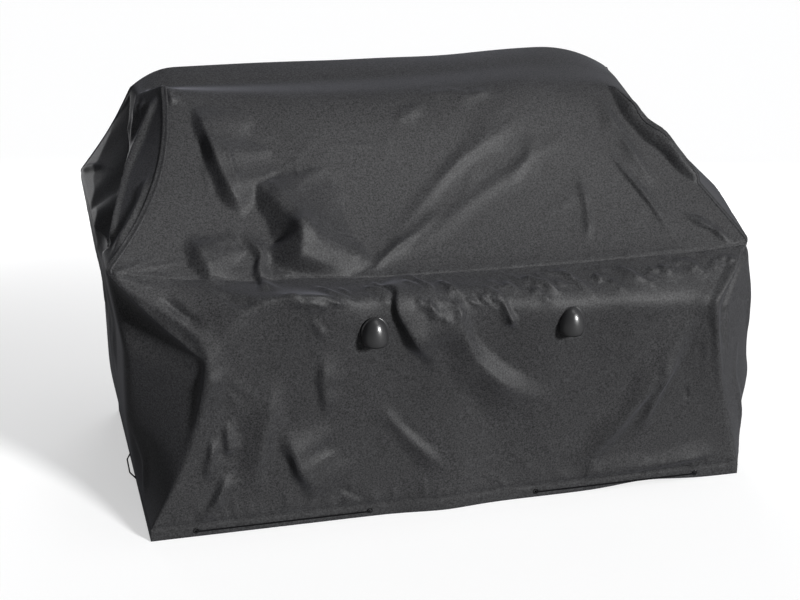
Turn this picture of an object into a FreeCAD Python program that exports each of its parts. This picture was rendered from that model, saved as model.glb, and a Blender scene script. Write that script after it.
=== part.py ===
import FreeCAD, Part
import math
import os

# A fitted cloth cover for a large grill. Millimetres. +X right, +Y rear, +Z up.
# The origin is the middle of the footprint, on the floor.

V = FreeCAD.Vector

# ---- driving dimensions ----
CLOTH = 1.5             # thickness of the coated cloth, with its seams flattened
CROWN_Z = 1190.0        # flat top of the hood
CROWN_HALF = 700.0      # half width of the flat top
CROWN_FRONT_Y = 20.0
CROWN_REAR_Y = 270.0
WAIST_Z = 750.0         # seam at shelf height
WAIST_HALF = 945.0      # half width at the seam, where the cover is widest
WAIST_FRONT_Y = -350.0
WAIST_REAR_Y = 480.0
BELLY_Z = 650.0         # upper edge of the control panel under the front skirt
BELLY_HALF = 765.0
BELLY_Y = -478.0
CROWN_ROUND = 60.0      # rounding of the crown's front and rear edges
BELLY_ROUND = 45.0
HEM_Z = 36.0            # top of the hem casing
HEM_HALF = 885.0
HEM_FRONT_Y = -431.0
HEM_REAR_Y = 470.0

HEM_DEPTH = 10.0        # how far the casing reaches inwards
CORD_R = 2.25
CORD_INSIDE = 5.75      # depth of the cord inside the casing
CORD_OUTSIDE = 5.0      # how far the cord stands off where it lies outside
CORD_Z = 18.0
CORD_BEND_R = 3.5       # bend at an eyelet
CORD_CORNER_R = 4.0     # bend at a corner of the hem
LOOP_BULGE = 22.0       # slack in the two side loops
LOOP_HALF = 45.0        # half length of a loop's outermost stretch
LOOP_R = 14.0

EYELET_FRONT_X = (-757.0, -252.0, 252.0, 757.0)
EYELET_SIDE_Y = (-75.0, 115.0)
EYELET_REAR_X = (-84.0, -44.0)
EYELET_BORE_R = 4.5
EYELET_BARREL_R = 5.5
EYELET_FLANGE_R = 9.0
EYELET_FLANGE_T = 0.8

VENTS = (("left", -243.0, 592.0), ("right", 328.0, 570.0))   # side, x and height
VENT_NECK_R = 18.0
VENT_HOLE_R = 18.5
VENT_HALF_W = 36.0
VENT_HALF_H = 38.0
VENT_FLANGE_T = 2.0
VENT_RIM = 3.0          # flange showing around the dome
VENT_DOME_H = 36.0
VENT_MOUTH = 0.35       # share of the dome's half height at which its mouth is cut
VENT_WALL = 2.0
VENT_NECK_LENGTH = 9.0
VENT_RING_R = 30.0      # small enough to stay on the flat of the cloth
VENT_RING_T = 3.0
VENT_RING_GAP = 0.05
SCREEN_RIM = 2.0
SCREEN_BAR = 0.8
SCREEN_PITCH = 4.0

BIG = 3000.0            # larger than the cover, for blocks that only cut
SMALL = 120.0           # larger than a vent, for blocks that only cut

TAPE_HALF = 11.0        # half the width of the seam tape
TAPE_T = 0.8
TAPE_CROWN_GAP = 45.0   # the gusset tapes stop this far below the top of the hood

LOCK_X = 10.0           # middle of the cord lock at rest
LOCK_TRAVEL = 90.0
LOCK_LENGTH = 14.0      # along the cord
LOCK_WIDTH = 20.0       # away from the hem
LOCK_BOTTOM = 4.0
LOCK_TOP = 29.0
LOCK_FLOOR_Z = 7.0      # bottom of the spring chamber
TAIL_NEAR = 8.0         # distance of each tail from the rear hem
TAIL_FAR = 16.0
CORD_HOLE_R = 2.7
PRESS_TRAVEL = 4.0
PLUNGER_WIDTH = 15.0
PLUNGER_LENGTH = 9.0
PLUNGER_BOTTOM = 13.5
PLUNGER_TOP = 34.5
PLUNGER_GAP = 0.1
SPRING_R = 3.4
SPRING_WIRE_R = 0.4
SPRING_TURNS = 4.5
BELL_LENGTH = 20.0
BELL_GRIP = 9.0         # how far the tails reach into the bell

os.makedirs("parts", exist_ok=True)


def save(name, shape):
    shape.exportStep("parts/" + name + ".step")


def both_sides(x, y, z):
    """The left and right copies of a point."""
    return V(-x, y, z), V(x, y, z)


# ---- hard points of the outer surface ----
CROWN_FL, CROWN_FR = both_sides(CROWN_HALF, CROWN_FRONT_Y, CROWN_Z)
CROWN_BL, CROWN_BR = both_sides(CROWN_HALF, CROWN_REAR_Y, CROWN_Z)
WAIST_FL, WAIST_FR = both_sides(WAIST_HALF, WAIST_FRONT_Y, WAIST_Z)
WAIST_BL, WAIST_BR = both_sides(WAIST_HALF, WAIST_REAR_Y, WAIST_Z)
BELLY_L, BELLY_R = both_sides(BELLY_HALF, BELLY_Y, BELLY_Z)
HEM_FL, HEM_FR = both_sides(HEM_HALF, HEM_FRONT_Y, HEM_Z)
HEM_BL, HEM_BR = both_sides(HEM_HALF, HEM_REAR_Y, HEM_Z)

FRONT_SLOPE = (CROWN_FL, CROWN_FR, WAIST_FR, WAIST_FL)
CROWN = (CROWN_FL, CROWN_FR, CROWN_BR, CROWN_BL)
REAR_SLOPE = (CROWN_BL, CROWN_BR, WAIST_BR, WAIST_BL)
GUSSET_LEFT = (CROWN_FL, CROWN_BL, WAIST_BL, WAIST_FL)
GUSSET_RIGHT = (CROWN_FR, CROWN_BR, WAIST_BR, WAIST_FR)
FRONT_TOP = (WAIST_FL, WAIST_FR, BELLY_R, BELLY_L)
FRONT_CORNER_LEFT = (WAIST_FL, BELLY_L, HEM_FL)
FRONT_CORNER_RIGHT = (WAIST_FR, BELLY_R, HEM_FR)
FRONT_LOWER = (BELLY_L, BELLY_R, HEM_FR, HEM_FL)
SIDE_LEFT = (WAIST_FL, WAIST_BL, HEM_BL, HEM_FL)
SIDE_RIGHT = (WAIST_FR, WAIST_BR, HEM_BR, HEM_FR)
BACK = (WAIST_BL, WAIST_BR, HEM_BR, HEM_BL)

UPPER = (FRONT_SLOPE, CROWN, REAR_SLOPE, GUSSET_LEFT, GUSSET_RIGHT)
LOWER = (FRONT_TOP, FRONT_CORNER_LEFT, FRONT_CORNER_RIGHT, FRONT_LOWER, SIDE_LEFT, SIDE_RIGHT,
         BACK)

MIDDLE = V(0, 0, WAIST_Z)   # a point well inside the cover, level with the waist seam
FAR = 6000.0                # larger than anything here


def outward_normal(facet):
    normal = (facet[1] - facet[0]).cross(facet[2] - facet[0])
    normal.normalize()
    if normal.dot(facet[0] - MIDDLE) < 0:
        normal = normal * -1
    return normal


def beyond(facet, inset):
    """A large block covering everything outside a facet's plane moved inwards by inset."""
    normal = outward_normal(facet)
    block = Part.makeBox(FAR, FAR, FAR, V(-FAR / 2, -FAR / 2, 0))
    turn = FreeCAD.Rotation(V(0, 0, 1), normal)
    block.Placement = FreeCAD.Placement(facet[0] - normal * inset, turn)
    return block


def round_edge(solid, corner, radius):
    """Round the long edge that runs along X through a corner of the outer surface."""
    chosen = []
    for edge in solid.Edges:
        along = edge.Vertexes[-1].Point - edge.Vertexes[0].Point
        middle = edge.CenterOfMass
        near = V(0, middle.y - corner.y, middle.z - corner.z).Length < 6
        if near and abs(along.x) > 1000 and abs(along.y) < 1:
            chosen.append(edge)
    return solid.makeFillet(radius, chosen)


def filled(facets, inset):
    """The space inside some facets, each moved inwards by inset, above or below the waist."""
    if facets is UPPER:
        solid = Part.makeBox(BIG, BIG, BIG, V(-BIG / 2, -BIG / 2, WAIST_Z))
    else:
        solid = Part.makeBox(BIG, BIG, WAIST_Z - HEM_Z, V(-BIG / 2, -BIG / 2, HEM_Z))
    for facet in facets:
        solid = solid.cut(beyond(facet, inset))
    if facets is UPPER:
        solid = round_edge(solid, CROWN_FL, CROWN_ROUND - inset)
        return round_edge(solid, CROWN_BL, CROWN_ROUND - inset)
    return round_edge(solid, BELLY_L, BELLY_ROUND - inset)


def layer(facets, outer_inset, inner_inset):
    return filled(facets, outer_inset).cut(filled(facets, inner_inset))


def cone_over(facet):
    """The pyramid from the middle of the cover out through a facet and past it."""
    outer = [MIDDLE + (point - MIDDLE) * 1.6 for point in facet]
    faces = [Part.Face(Part.makePolygon(outer + [outer[0]]))]
    for index, point in enumerate(outer):
        following = outer[(index + 1) % len(outer)]
        faces.append(Part.Face(Part.makePolygon([MIDDLE, point, following, MIDDLE])))
    return Part.makeSolid(Part.makeShell(faces))


def fuse_all(shapes):
    result = shapes[0]
    for shape in shapes[1:]:
        result = result.fuse(shape)
    return result


def panel(cloth, facets):
    """One piece of cloth: the part of a layer lying under the given facets."""
    pieces = [cloth.common(cone_over(facet)) for facet in facets]
    return fuse_all(pieces).removeSplitter()


# ---- vents: local frame has X right, Y up the cloth, Z outwards from the cloth ----
FRONT_NORMAL = outward_normal(FRONT_LOWER)


def on_front(shape, x, z):
    """Put a shape built in the vent's local frame on the lower front cloth."""
    down = (BELLY_Z - z) / (BELLY_Z - HEM_Z)
    y = BELLY_Y + (HEM_FRONT_Y - BELLY_Y) * down
    up = V(0, 0, 1) - FRONT_NORMAL * FRONT_NORMAL.z
    up.normalize()
    turn = FreeCAD.Rotation(V(1, 0, 0), up, FRONT_NORMAL, "ZXY")
    placed = shape.copy()
    placed.Placement = FreeCAD.Placement(V(x, y, z), turn)
    return placed


def scaled_sphere(half_x, half_y, half_z):
    matrix = FreeCAD.Matrix()
    matrix.scale(half_x, half_y, half_z)
    return Part.makeSphere(1.0).transformGeometry(matrix)


def oval_plate(half_x, half_y, low, high):
    """An upright oval slab between two heights."""
    ellipse = Part.Ellipse(V(0, 0, 0), half_y, half_x).toShape()
    plate = Part.Face(Part.Wire([ellipse])).extrude(V(0, 0, high - low))
    plate.rotate(V(0, 0, 0), V(0, 0, 1), 90)
    plate.translate(V(0, 0, low))
    return plate


def vent_hood():
    """Flange, domed cowl open at the bottom, and the neck that passes through the cloth."""
    dome_x, dome_y = VENT_HALF_W - VENT_RIM, VENT_HALF_H - VENT_RIM
    dome = scaled_sphere(dome_x, dome_y, VENT_DOME_H)
    hollow = scaled_sphere(dome_x - VENT_WALL, dome_y - VENT_WALL, VENT_DOME_H - VENT_WALL)
    mouth = Part.makeBox(2 * SMALL, SMALL, SMALL,
                         V(-SMALL, -SMALL - dome_y * VENT_MOUTH, VENT_FLANGE_T))
    below = Part.makeBox(2 * SMALL, 2 * SMALL, SMALL, V(-SMALL, -SMALL, -SMALL))
    dome = dome.cut(hollow).cut(mouth).cut(below)
    flange = oval_plate(VENT_HALF_W, VENT_HALF_H, 0, VENT_FLANGE_T)
    neck = Part.makeCylinder(VENT_NECK_R, VENT_NECK_LENGTH, V(0, 0, -VENT_NECK_LENGTH))
    bore = Part.makeCylinder(VENT_NECK_R - VENT_WALL, VENT_NECK_LENGTH + VENT_FLANGE_T,
                             V(0, 0, -VENT_NECK_LENGTH))
    return flange.fuse(neck).cut(bore).fuse(dome.cut(below)).removeSplitter()


def vent_ring():
    """Clamp ring pushed over the neck from inside, against the back of the cloth."""
    low = V(0, 0, -CLOTH - VENT_RING_T)
    ring = Part.makeCylinder(VENT_RING_R, VENT_RING_T, low)
    return ring.cut(Part.makeCylinder(VENT_NECK_R + VENT_RING_GAP, VENT_RING_T, low))


def vent_screen():
    """Insect screen: a rim and crossed bars inside the end of the neck."""
    radius = VENT_NECK_R - VENT_WALL - VENT_RING_GAP
    low, high = -VENT_NECK_LENGTH + 1.0, -VENT_NECK_LENGTH + 2.0
    disc = Part.makeCylinder(radius, high - low, V(0, 0, low))
    window = Part.makeCylinder(radius - SCREEN_RIM, high - low, V(0, 0, low))
    bars = []
    for step in range(-3, 4):
        edge = step * SCREEN_PITCH - SCREEN_BAR / 2
        bars.append(Part.makeBox(2 * radius, SCREEN_BAR, high - low, V(-radius, edge, low)))
        bars.append(Part.makeBox(SCREEN_BAR, 2 * radius, high - low, V(edge, -radius, low)))
    return disc.cut(window).fuse(fuse_all(bars).common(disc)).removeSplitter()


# ---- cloth panels ----
upper_cloth = layer(UPPER, 0, CLOTH)
lower_cloth = layer(LOWER, 0, CLOTH)
save("top_panel", panel(upper_cloth, (FRONT_SLOPE, CROWN, REAR_SLOPE)))
save("gusset_left", panel(upper_cloth, (GUSSET_LEFT,)))
save("gusset_right", panel(upper_cloth, (GUSSET_RIGHT,)))
save("skirt_left", panel(lower_cloth, (SIDE_LEFT,)))
save("skirt_right", panel(lower_cloth, (SIDE_RIGHT,)))
save("skirt_back", panel(lower_cloth, (BACK,)))
skirt_front = panel(lower_cloth, (FRONT_TOP, FRONT_CORNER_LEFT, FRONT_CORNER_RIGHT,
                                  FRONT_LOWER))
for side, x, z in VENTS:
    hole = Part.makeCylinder(VENT_HOLE_R, SMALL, V(0, 0, -SMALL / 2))
    skirt_front = skirt_front.cut(on_front(hole, x, z))
save("skirt_front", skirt_front)

for side, x, z in VENTS:
    save("vent_hood_" + side, on_front(vent_hood(), x, z))
    save("vent_ring_" + side, on_front(vent_ring(), x, z))
    save("vent_screen_" + side, on_front(vent_screen(), x, z))


# ---- hem casing: a folded tunnel, mitred at the four corners ----
def hem_block(inset, low, high):
    """The hem's outline, moved inwards by inset, as a block between two heights."""
    return Part.makeBox(2 * (HEM_HALF - inset), HEM_REAR_Y - HEM_FRONT_Y - 2 * inset,
                        high - low, V(-HEM_HALF + inset, HEM_FRONT_Y + inset, low))


def mitre_wedge(first, second):
    """The upright wedge over one side of the hem, cut at 45 degrees at both ends."""
    along = second - first
    along.normalize()
    inward = V(-along.y, along.x, 0)
    reach = 200.0
    outline = [first - along * reach - inward * reach, second + along * reach - inward * reach,
               second - along * reach + inward * reach, first + along * reach + inward * reach]
    face = Part.Face(Part.makePolygon(outline + [outline[0]]))
    return face.extrude(V(0, 0, 100)).translated(V(0, 0, -20))


tunnel = hem_block(CLOTH, CLOTH, HEM_Z - CLOTH).cut(
    hem_block(HEM_DEPTH - CLOTH, CLOTH, HEM_Z - CLOTH))
casing = hem_block(0, 0, HEM_Z).cut(hem_block(HEM_DEPTH, 0, HEM_Z)).cut(tunnel)

corner_fl = V(-HEM_HALF, HEM_FRONT_Y, 0)
corner_fr = V(HEM_HALF, HEM_FRONT_Y, 0)
corner_br = V(HEM_HALF, HEM_REAR_Y, 0)
corner_bl = V(-HEM_HALF, HEM_REAR_Y, 0)
hem_sides = (("hem_front", corner_fl, corner_fr), ("hem_right", corner_fr, corner_br),
             ("hem_back", corner_br, corner_bl), ("hem_left", corner_bl, corner_fl))

# ---- eyelets: where each sits and which way it faces ----
eyelets = [(V(x, HEM_FRONT_Y, CORD_Z), V(0, -1, 0)) for x in EYELET_FRONT_X]
eyelets += [(V(x, HEM_REAR_Y, CORD_Z), V(0, 1, 0)) for x in EYELET_REAR_X]
eyelets += [(V(-HEM_HALF, y, CORD_Z), V(-1, 0, 0)) for y in EYELET_SIDE_Y]
eyelets += [(V(HEM_HALF, y, CORD_Z), V(1, 0, 0)) for y in EYELET_SIDE_Y]


def grommet(place, out):
    """Barrel through the cloth with an outer flange and a small rolled lip inside."""
    flange = Part.makeCylinder(EYELET_FLANGE_R, EYELET_FLANGE_T, place, out)
    inner_reach = CLOTH + EYELET_FLANGE_T
    barrel = Part.makeCylinder(EYELET_BARREL_R, inner_reach, place, out * -1)
    bore = Part.makeCylinder(EYELET_BORE_R, 10, place - out * 5, out)
    body = flange.fuse(barrel).cut(bore).removeSplitter()
    rim = [edge for edge in body.Edges
           if abs(edge.Length - 2 * math.pi * EYELET_FLANGE_R) < 0.1
           and (edge.CenterOfMass - place).dot(out) > EYELET_FLANGE_T / 2]
    return body.makeFillet(EYELET_FLANGE_T * 0.6, rim)


def washer(place, out):
    start = place - out * CLOTH
    ring = Part.makeCylinder(EYELET_FLANGE_R, EYELET_FLANGE_T, start, out * -1)
    return ring.cut(Part.makeCylinder(EYELET_BARREL_R, 10, place - out * 5, out))


eyelet_holes = [Part.makeCylinder(EYELET_BARREL_R, 6, place - out * 3, out)
                for place, out in eyelets]
for name, first, second in hem_sides:
    side = casing.common(mitre_wedge(first, second))
    for hole in eyelet_holes:
        side = side.cut(hole)
    save(name, side.removeSplitter())
save("eyelet_grommets", Part.makeCompound([grommet(*eyelet) for eyelet in eyelets]))
save("eyelet_washers", Part.makeCompound([washer(*eyelet) for eyelet in eyelets]))


# ---- drawcord ----
def rounded_path(points, radii):
    """Straight stretches joined by arcs, one radius for each inner point."""
    edges = []
    start = points[0]
    for index in range(1, len(points) - 1):
        corner, radius = points[index], radii[index - 1]
        back = points[index - 1] - corner
        ahead = points[index + 1] - corner
        back.normalize()
        ahead.normalize()
        half_angle = back.getAngle(ahead) / 2
        reach = radius / math.tan(half_angle)
        arc_start, arc_end = corner + back * reach, corner + ahead * reach
        bisector = back + ahead
        bisector.normalize()
        arc_middle = corner + bisector * (radius / math.sin(half_angle) - radius)
        edges.append(Part.makeLine(start, arc_start))
        edges.append(Part.Arc(arc_start, arc_middle, arc_end).toShape())
        start = arc_end
    edges.append(Part.makeLine(start, points[-1]))
    return Part.Wire(edges)


def through_eyelet(place, out, going_out):
    """The two bends of the cord at an eyelet, in the order the cord meets them."""
    inside = place - out * CORD_INSIDE
    outside = place + out * CORD_OUTSIDE
    return [inside, outside] if going_out else [outside, inside]


def tail_points(place, distance, end_x):
    """A tail from its rear eyelet out to its line and along it to the bell."""
    return [place - V(0, CORD_INSIDE, 0), V(place.x, HEM_REAR_Y + distance, CORD_Z),
            V(end_x, HEM_REAR_Y + distance, CORD_Z)]


front, rear = eyelets[:4], eyelets[4:6]
left, right = eyelets[6:8], eyelets[8:10]
bell_start_x = LOCK_X + LOCK_TRAVEL + LOCK_LENGTH / 2 + 6.0
tail_end_x = bell_start_x + BELL_GRIP
corner_x = HEM_HALF - CORD_INSIDE
corner_front_y = HEM_FRONT_Y + CORD_INSIDE
corner_rear_y = HEM_REAR_Y - CORD_INSIDE

# The cord starts at the far tail, goes round by the left, the front and the right, and
# comes back to the near tail.
cord_points = tail_points(rear[0][0], TAIL_FAR, tail_end_x)[::-1]
cord_radii = [CORD_BEND_R, CORD_BEND_R]
cord_points.append(V(-corner_x, corner_rear_y, CORD_Z))
cord_radii.append(CORD_CORNER_R)
loop_middle_y = sum(EYELET_SIDE_Y) / 2


def side_loop(pair, out):
    """The slack loop outside one side, from the first eyelet of the pair to the second."""
    first, second = pair
    direction = 1 if second[0].y > first[0].y else -1
    bulge = out * LOOP_BULGE
    near = V(first[0].x, loop_middle_y - direction * LOOP_HALF, CORD_Z) + bulge
    far = V(first[0].x, loop_middle_y + direction * LOOP_HALF, CORD_Z) + bulge
    points = through_eyelet(first[0], out, True) + [near, far]
    points += through_eyelet(second[0], out, False)
    return points, [CORD_BEND_R, CORD_BEND_R, LOOP_R, LOOP_R, CORD_BEND_R, CORD_BEND_R]


loop_points, loop_radii = side_loop(left[::-1], V(-1, 0, 0))
cord_points += loop_points
cord_radii += loop_radii
cord_points.append(V(-corner_x, corner_front_y, CORD_Z))
cord_radii.append(CORD_CORNER_R)
for index, (place, out) in enumerate(front):
    cord_points += through_eyelet(place, out, index % 2 == 0)
    cord_radii += [CORD_BEND_R, CORD_BEND_R]
cord_points.append(V(corner_x, corner_front_y, CORD_Z))
cord_radii.append(CORD_CORNER_R)
loop_points, loop_radii = side_loop(right, V(1, 0, 0))
cord_points += loop_points
cord_radii += loop_radii
cord_points.append(V(corner_x, corner_rear_y, CORD_Z))
cord_radii.append(CORD_CORNER_R)
cord_points += tail_points(rear[1][0], TAIL_NEAR, tail_end_x)
cord_radii += [CORD_BEND_R, CORD_BEND_R]

cord_path = rounded_path(cord_points, cord_radii)
cord_direction = cord_points[1] - cord_points[0]
cord_section = Part.Wire([Part.makeCircle(CORD_R, cord_points[0], cord_direction)])
save("drawcord", cord_path.makePipeShell([cord_section], True, True))


# ---- cord lock: two cords pass along X, the button is pressed down along Z ----
LOCK_Y = HEM_REAR_Y + (TAIL_NEAR + TAIL_FAR) / 2
TAILS_Y = (HEM_REAR_Y + TAIL_NEAR, HEM_REAR_Y + TAIL_FAR)


def upright_block(length, width, low, high):
    return Part.makeBox(length, width, high - low,
                        V(LOCK_X - length / 2, LOCK_Y - width / 2, low))


def upright_edges(shape, tallest):
    return [edge for edge in shape.Edges
            if abs(edge.Vertexes[0].Z - edge.Vertexes[-1].Z) > tallest]


lock_body = upright_block(LOCK_LENGTH, LOCK_WIDTH, LOCK_BOTTOM, LOCK_TOP)
lock_body = lock_body.makeFillet(2.0, upright_edges(lock_body, 20))
chamber = upright_block(PLUNGER_LENGTH + 2 * PLUNGER_GAP, PLUNGER_WIDTH + 2 * PLUNGER_GAP,
                        LOCK_FLOOR_Z, LOCK_TOP)
lock_body = lock_body.cut(chamber)
for y in TAILS_Y:
    lock_body = lock_body.cut(Part.makeCylinder(CORD_HOLE_R, 40, V(LOCK_X - 20, y, CORD_Z),
                                                V(1, 0, 0)))
save("cord_lock_body", lock_body)

plunger = upright_block(PLUNGER_LENGTH, PLUNGER_WIDTH, PLUNGER_BOTTOM, PLUNGER_TOP)
plunger = plunger.makeFillet(1.0, upright_edges(plunger, 15))
for y in TAILS_Y:
    for z in (CORD_Z, CORD_Z + PRESS_TRAVEL):
        slot_end = Part.makeCylinder(CORD_HOLE_R, 40, V(LOCK_X - 20, y, z), V(1, 0, 0))
        plunger = plunger.cut(slot_end)
    plunger = plunger.cut(Part.makeBox(40, 2 * CORD_HOLE_R, PRESS_TRAVEL,
                                       V(LOCK_X - 20, y - CORD_HOLE_R, CORD_Z)))
save("cord_lock_plunger", plunger)

spring_low = LOCK_FLOOR_Z + SPRING_WIRE_R + 0.05
spring_high = PLUNGER_BOTTOM - SPRING_WIRE_R - 0.05
helix = Part.makeHelix((spring_high - spring_low) / SPRING_TURNS, spring_high - spring_low,
                       SPRING_R)
wire_section = Part.Wire([Part.makeCircle(SPRING_WIRE_R, V(SPRING_R, 0, 0), V(0, 1, 0))])
spring = Part.Wire(helix).makePipeShell([wire_section], True, True)
spring.translate(V(LOCK_X, LOCK_Y, spring_low))
save("cord_lock_spring", spring)

bell = Part.makeCylinder(8.0, BELL_LENGTH, V(bell_start_x, LOCK_Y, CORD_Z), V(1, 0, 0))
bell_ends = [edge for edge in bell.Edges if abs(edge.Length - 16 * math.pi) < 0.1]
bell = bell.makeFillet(3.0, bell_ends)
for y in TAILS_Y:
    bell = bell.cut(Part.makeCylinder(CORD_R + 0.05, BELL_GRIP + 0.1,
                                      V(bell_start_x, y, CORD_Z), V(1, 0, 0)))
save("cord_end", bell)


# ---- seam tapes: flat strips over the inside of the seams ----
upper_lining = layer(UPPER, CLOTH, CLOTH + TAPE_T)
lower_lining = layer(LOWER, CLOTH, CLOTH + TAPE_T)
tape_zone = Part.makeBox(BIG, BIG, 2 * TAPE_HALF, V(-BIG / 2, -BIG / 2, WAIST_Z - TAPE_HALF))
waist_tape = upper_lining.common(tape_zone).fuse(lower_lining.common(tape_zone))
save("waist_seam_tape", waist_tape.removeSplitter())


def gusset_tape(low, high):
    """Tape up one sloping seam of a gusset, stopping clear of the waist tape and the crown."""
    zone = Part.makeCylinder(TAPE_HALF * 1.2, (high - low).Length, low, high - low)
    between = Part.makeBox(BIG, BIG, CROWN_Z - TAPE_CROWN_GAP - WAIST_Z - TAPE_HALF,
                           V(-BIG / 2, -BIG / 2, WAIST_Z + TAPE_HALF))
    return upper_lining.common(zone).common(between).removeSplitter()


save("gusset_tape_front_left", gusset_tape(WAIST_FL, CROWN_FL))
save("gusset_tape_front_right", gusset_tape(WAIST_FR, CROWN_FR))
save("gusset_tape_rear_left", gusset_tape(WAIST_BL, CROWN_BL))
save("gusset_tape_rear_right", gusset_tape(WAIST_BR, CROWN_BR))
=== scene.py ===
import math

import bpy
import numpy as np
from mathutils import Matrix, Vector
from mathutils.bvhtree import BVHTree


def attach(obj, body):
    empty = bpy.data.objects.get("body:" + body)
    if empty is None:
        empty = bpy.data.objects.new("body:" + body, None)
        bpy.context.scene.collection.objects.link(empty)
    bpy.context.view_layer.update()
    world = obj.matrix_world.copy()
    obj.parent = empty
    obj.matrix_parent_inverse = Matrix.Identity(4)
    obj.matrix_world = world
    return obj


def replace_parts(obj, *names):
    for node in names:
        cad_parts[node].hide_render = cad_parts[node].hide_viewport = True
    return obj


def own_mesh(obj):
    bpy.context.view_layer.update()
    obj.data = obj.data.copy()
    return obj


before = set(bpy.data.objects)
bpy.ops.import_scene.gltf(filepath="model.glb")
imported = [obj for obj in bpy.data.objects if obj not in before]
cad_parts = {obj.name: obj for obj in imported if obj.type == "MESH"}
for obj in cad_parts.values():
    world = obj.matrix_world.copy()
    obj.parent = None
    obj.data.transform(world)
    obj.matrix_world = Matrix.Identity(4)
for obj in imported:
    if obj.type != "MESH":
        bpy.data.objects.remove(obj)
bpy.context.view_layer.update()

scene = bpy.context.scene

# ---- sizes, in metres
HEM_TOP = 0.036
CLOTH_T = 0.0018

HEM_Y = -0.431
HEM_HALF = 0.885
WAIST_Y = -0.35
BELLY_Y = -0.478
REAR_HEM_Y = 0.470
REAR_WAIST_Y = 0.475
REAR_CROWN_Y = 0.27

VENTS = {"left": (-0.243, -0.4735, 0.592), "right": (0.328, -0.4718, 0.570)}
FRONT_EYELET_X = (-.757, -.252, .252, .757)

# the sheet is a grid: columns round the cover, rows up it in four bands, then the crown
FRONT_COLUMNS = 360
SIDE_COLUMNS = 104
RING_SIZE = 2 * (FRONT_COLUMNS + SIDE_COLUMNS)
REAR_RIGHT = FRONT_COLUMNS + SIDE_COLUMNS
REAR_LEFT = 2 * FRONT_COLUMNS + SIDE_COLUMNS
HEM_ROWS = 6
SKIRT_ROWS = 110
SHELF_ROWS = 32
SLOPE_ROWS = 112
HEM, SKIRT, SHELF, SLOPE = range(4)
WAIST_ROW = HEM_ROWS + SKIRT_ROWS + SHELF_ROWS
RING_ROWS = WAIST_ROW + SLOPE_ROWS + 1
RING_POINTS = RING_ROWS * RING_SIZE


# ---- small maths
def lerp(a, b, s):
    s = np.asarray(s, float)[..., None]
    return np.asarray(a, float) * (1 - s) + np.asarray(b, float) * s


def smooth_step(low, high, value):
    s = np.clip((value - low) / (high - low), 0, 1)
    return s * s * (3 - 2 * s)


def along(points, s):
    """Points on a polyline through some points at even parameter steps, for s in 0 to 1."""
    points = np.asarray(points, float)
    steps = np.linspace(0, 1, len(points))
    return np.stack([np.interp(s, steps, points[:, k]) for k in range(3)], -1)


def normalised(v):
    return v / np.maximum(np.linalg.norm(v, axis=-1, keepdims=True), 1e-12)


# ---- the cover's key lines
def bump(x, middle, width):
    """A smooth hump of height 1."""
    return np.exp(-((x - middle) / width) ** 2)


def hem_line(t):
    """Front lower edge of the cloth: it swells out in the middle and is drawn up at the right."""
    x = -HEM_HALF + 2 * HEM_HALF * t
    y = HEM_Y - 0.014 * bump(x, -0.03, 0.11)
    return np.stack([x, y, 0.013 * bump(x, 0.60, 0.12)], -1)


def belly_line(t):
    """Upper edge of the control panel, under the cloth: it drops away at its left corner."""
    x = -0.707 + 1.477 * t
    rise = 0.72 - 0.098 * (x + 0.45)
    drop = 0.165 * np.clip((-0.45 - x) / 0.257, 0, 1) ** 2.8
    z = np.where(x > -0.45, rise, 0.72) - drop + 0.005 * np.sin(13 * x + 1) + 0.004 * np.sin(29 * x)
    y = BELLY_Y + 0.005 * np.sin(9 * x + 2) + 0.004 * np.sin(21 * x)
    return np.stack([x, y, z], -1)


def seam_height(x):
    """Height of the seam above the front: it rises to both ends, more to the left one."""
    left = 0.09 * np.clip(-x / 0.965, 0, 1) ** 2 + 0.013 * bump(x, -0.42, 0.10)
    return 0.695 + left + 0.022 * np.clip(x / 0.92, 0, 1) ** 4


def waist_line(t):
    """The seam at shelf height: high at the left corner, sagging towards the right."""
    x = -0.965 + 1.89 * t
    return np.stack([x, np.full_like(x, WAIST_Y), seam_height(x)], -1)


def crown_front_line(t):
    """Front edge of the flat top: it sags between its ends and drops at the right one."""
    x = -0.735 + 1.345 * t
    middle = np.sin(math.pi * t) ** 0.6
    y = 0.106 - 0.055 * t - 0.060 * middle
    z = 1.186 - 0.052 * middle - 0.053 * smooth_step(0.75, 1.0, t)
    return np.stack([x, y, z], -1)


def crown_rear_line(t):
    """Rear edge of the flat top: both ends fall away and it dips twice between them."""
    x = -0.812 + 1.492 * t
    left = np.clip((-0.68 - x) / 0.19, 0, 1) ** 2
    right = np.clip((x - 0.43) / 0.25, 0, 1) ** 2.2
    z = 1.193 - 0.110 * left - 0.080 * right
    z = z - 0.006 * bump(x, -0.15, 0.20) - 0.009 * bump(x, 0.13, 0.16)
    return np.stack([x, np.full_like(x, REAR_CROWN_Y), z], -1)


def rear_waist_line(t):
    """The seam at the rear, higher than at the front."""
    x = -0.973 + 1.928 * t
    z = 0.832 - 0.035 * np.sin(math.pi * t) - 0.038 * t
    return np.stack([x, np.full_like(x, REAR_WAIST_Y), z], -1)


def rear_hem_line(t):
    """Rear lower edge, straight along the floor."""
    x = -HEM_HALF - 0.015 + 2 * (HEM_HALF + 0.010) * t
    return np.stack([x, np.full_like(x, REAR_HEM_Y), np.zeros_like(x)], -1)


def row_places():
    """For each ring row, which band it is in and how far up the band it is."""
    places = []
    for band, rows in enumerate((HEM_ROWS, SKIRT_ROWS, SHELF_ROWS, SLOPE_ROWS)):
        places += [(band, k / rows) for k in range(rows)]
    return places + [(SLOPE, 1.0)]


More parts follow.
